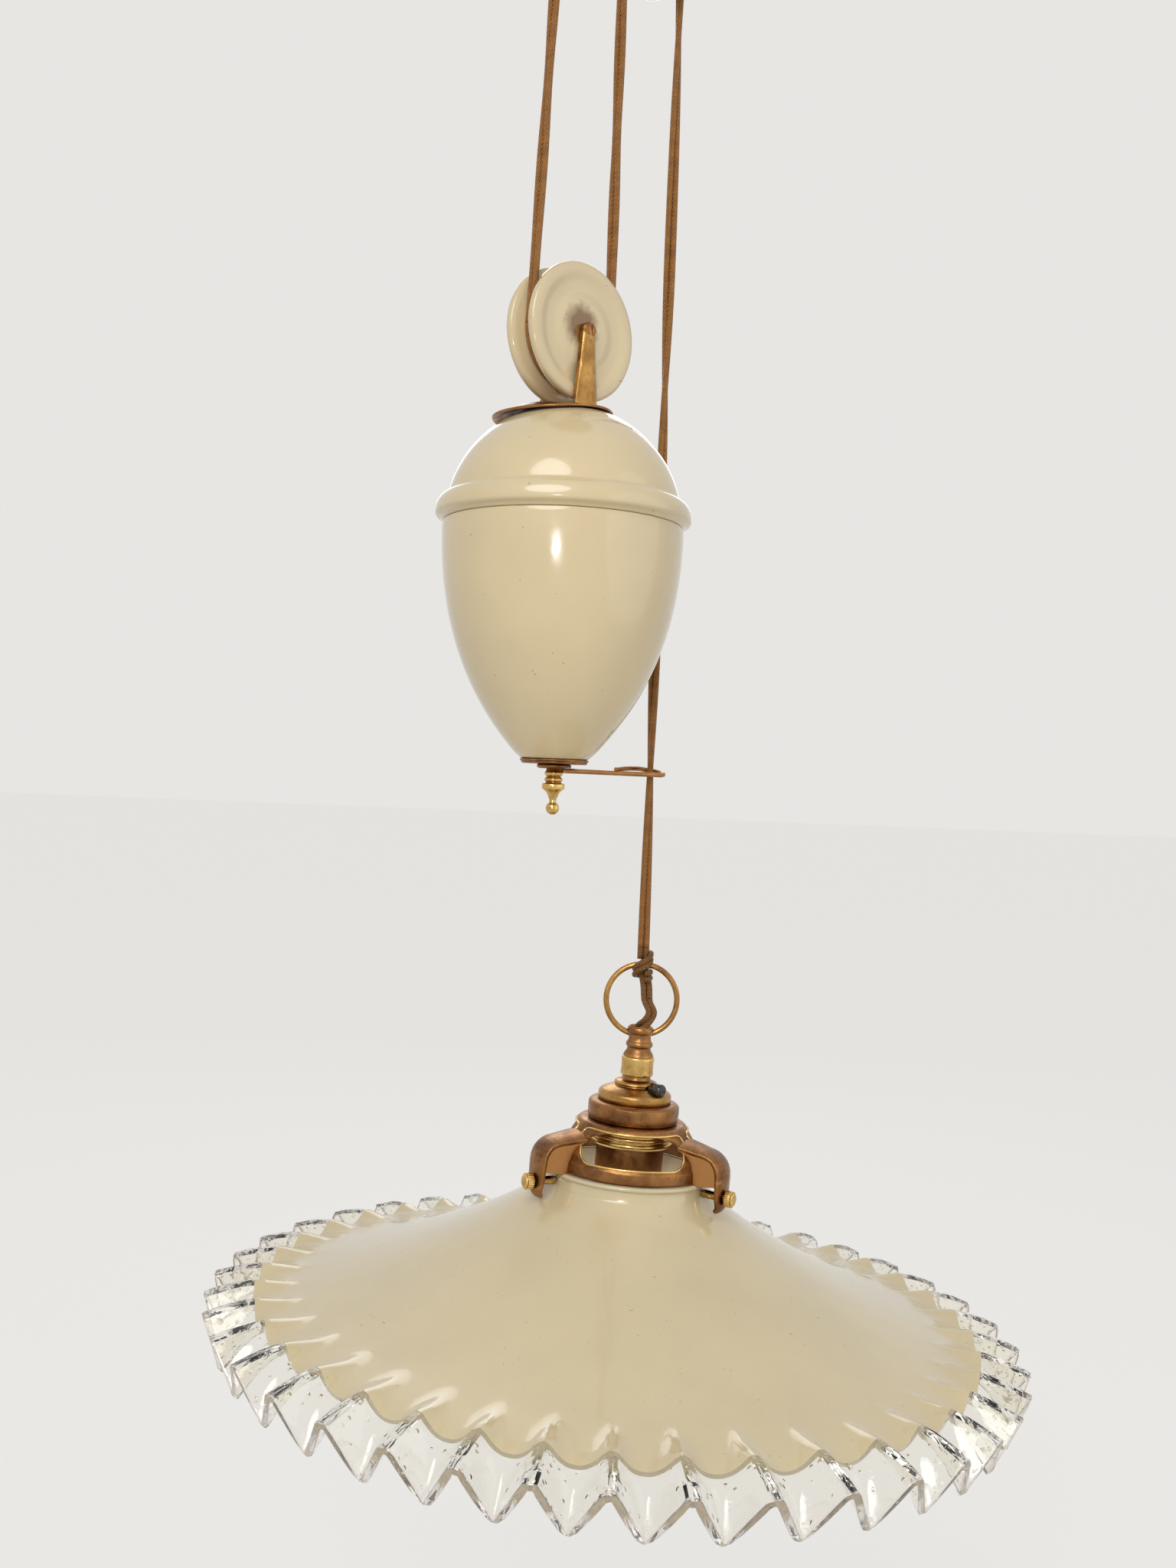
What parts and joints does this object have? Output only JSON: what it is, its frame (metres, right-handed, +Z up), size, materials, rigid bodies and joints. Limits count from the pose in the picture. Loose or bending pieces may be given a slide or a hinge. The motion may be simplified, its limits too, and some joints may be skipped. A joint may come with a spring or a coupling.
{
  "type": "rise and fall pendant",
  "caption": "Rise and fall pendant light: an opal glass shade with a crimped clear edge, balanced by an egg shaped porcelain counterweight on a flex that runs over wheels",
  "frame": {"origin": "on the ceiling, midway between the two ceiling screws of the mounting strap", "axes": "+Z up into the ceiling, X along the strap and in the plane of the three strands, wheel axles along Y"},
  "size_m": [0.2984, 0.2984, 0.5953],
  "materials": {
    "brass": "aged turned brass, golden where it is rubbed",
    "dark_brass": "brass gone coppery brown",
    "glazed_porcelain": "cream white, glossy glaze",
    "plain_porcelain": "unglazed white",
    "silk_flex": "golden brown braided silk",
    "iron": "rough cast",
    "ebonite": "polished black",
    "spring_steel": "bright wire",
    "opal_glass": "opal white glass, glossy",
    "clear_glass": "clear, faintly warm, with a few seeds"
  },
  "bodies": {
    "ceiling": {"mounting_strap": "brass", "canopy": "dark_brass", "hanger_fork": "brass", "stem_nut": "brass", "canopy_nut": "brass", "ceiling_axle": "brass", "ceiling_axle_nut": "brass", "cord_grip": "brass", "grip_nut": "brass", "grip_screw": "brass", "terminal_block": "plain_porcelain", "terminal_screws": "brass", "flex_supply_tail": "silk_flex", "flex_fixed_strand": "silk_flex", "flex_middle_strand": "silk_flex", "flex_ceiling_wrap": "silk_flex", "flex_lamp_strand": "silk_flex"},
    "ceiling_wheel": {"ceiling_pulley": "glazed_porcelain"},
    "counterweight": {"counterweight_body": "glazed_porcelain", "counterweight_lid": "glazed_porcelain", "ballast": "iron", "tie_rod": "brass", "top_cap": "dark_brass", "counterweight_fork": "brass", "counterweight_axle": "brass", "counterweight_axle_nut": "brass", "bottom_plate": "dark_brass", "guide_arm": "dark_brass", "finial": "brass", "flex_counterweight_wrap": "silk_flex"},
    "counterweight_wheel": {"counterweight_pulley": "glazed_porcelain"},
    "lamp_line": {"flex_knot": "silk_flex", "flex_tail_upper": "silk_flex"},
    "lamp_ring": {"suspension_ring": "brass"},
    "lamp": {"flex_tail_lower": "silk_flex", "ring_boss": "brass", "holder_collar": "brass", "holder_cap": "brass", "cord_screw": "ebonite", "upper_shade_ring": "dark_brass", "gallery": "dark_brass", "lower_shade_ring": "brass", "holder_barrel": "dark_brass", "insulator": "plain_porcelain", "insulator_screws": "brass", "contact_springs": "spring_steel", "shade": "opal_glass", "shade_rim": "clear_glass"},
    "contacts": {"contact_plungers": "brass"},
    "screw_1": {"gallery_screw_1": "brass"},
    "screw_2": {"gallery_screw_2": "brass"},
    "screw_3": {"gallery_screw_3": "brass"}
  },
  "joints": [
    {"name": "lamp_height", "type": "slide", "parent": "ceiling", "child": "lamp_line", "axis": [0, 0, 1], "range_m": [-0.2, 0.04], "deforming": ["flex_lamp_strand"]},
    {"name": "counterweight_height", "type": "slide", "parent": "ceiling", "child": "counterweight", "axis": [0, 0, 1], "range_m": [-0.02, 0.1], "deforming": ["flex_fixed_strand", "flex_middle_strand"]},
    {"name": "counterweight_wheel_spin", "type": "hinge", "parent": "counterweight", "child": "counterweight_wheel", "pos_m": [-0.0186, 0, -0.22], "axis": [0, 1, 0], "range_deg": [-310, 70]},
    {"name": "ceiling_wheel_spin", "type": "hinge", "parent": "ceiling", "child": "ceiling_wheel", "pos_m": [0.01505, 0, -0.067], "axis": [0, 1, 0], "range_deg": [-170, 770]},
    {"name": "ring_swing", "type": "hinge", "parent": "lamp_line", "child": "lamp_ring", "pos_m": [0.03, 0, -0.4419], "axis": [0.7193, -0.6947, 0], "range_deg": [-20, 20], "deforming": ["flex_tail_upper"]},
    {"name": "lamp_swing", "type": "hinge", "parent": "lamp_ring", "child": "lamp", "pos_m": [0.03, 0, -0.4681], "axis": [0.7193, -0.6947, 0], "range_deg": [-25, 25], "deforming": ["flex_tail_lower"]},
    {"name": "contact_press", "type": "slide", "parent": "lamp", "child": "contacts", "axis": [0.0376, -0.0364, 0.9986], "range_m": [0, 0.003], "stiffness_N_per_m": 1500, "springref_m": -0.001, "deforming": ["contact_springs"]},
    {"name": "gallery_screw_1_out", "type": "slide", "parent": "lamp", "child": "screw_1", "axis": [0.2748, -0.9604, -0.0453], "range_m": [0, 0.003]},
    {"name": "gallery_screw_2_out", "type": "slide", "parent": "lamp", "child": "screw_2", "axis": [0.6947, 0.7193, 0], "range_m": [0, 0.003]},
    {"name": "gallery_screw_3_out", "type": "slide", "parent": "lamp", "child": "screw_3", "axis": [-0.9694, 0.2411, 0.0453], "range_m": [0, 0.003]}
  ],
  "couplings": [
    {"joint": "counterweight_height", "follows": "lamp_height", "ratio": -0.5},
    {"joint": "counterweight_wheel_spin", "follows": "lamp_height", "rad_per_m": 26.738},
    {"joint": "ceiling_wheel_spin", "follows": "lamp_height", "rad_per_m": -66.89}
  ]
}
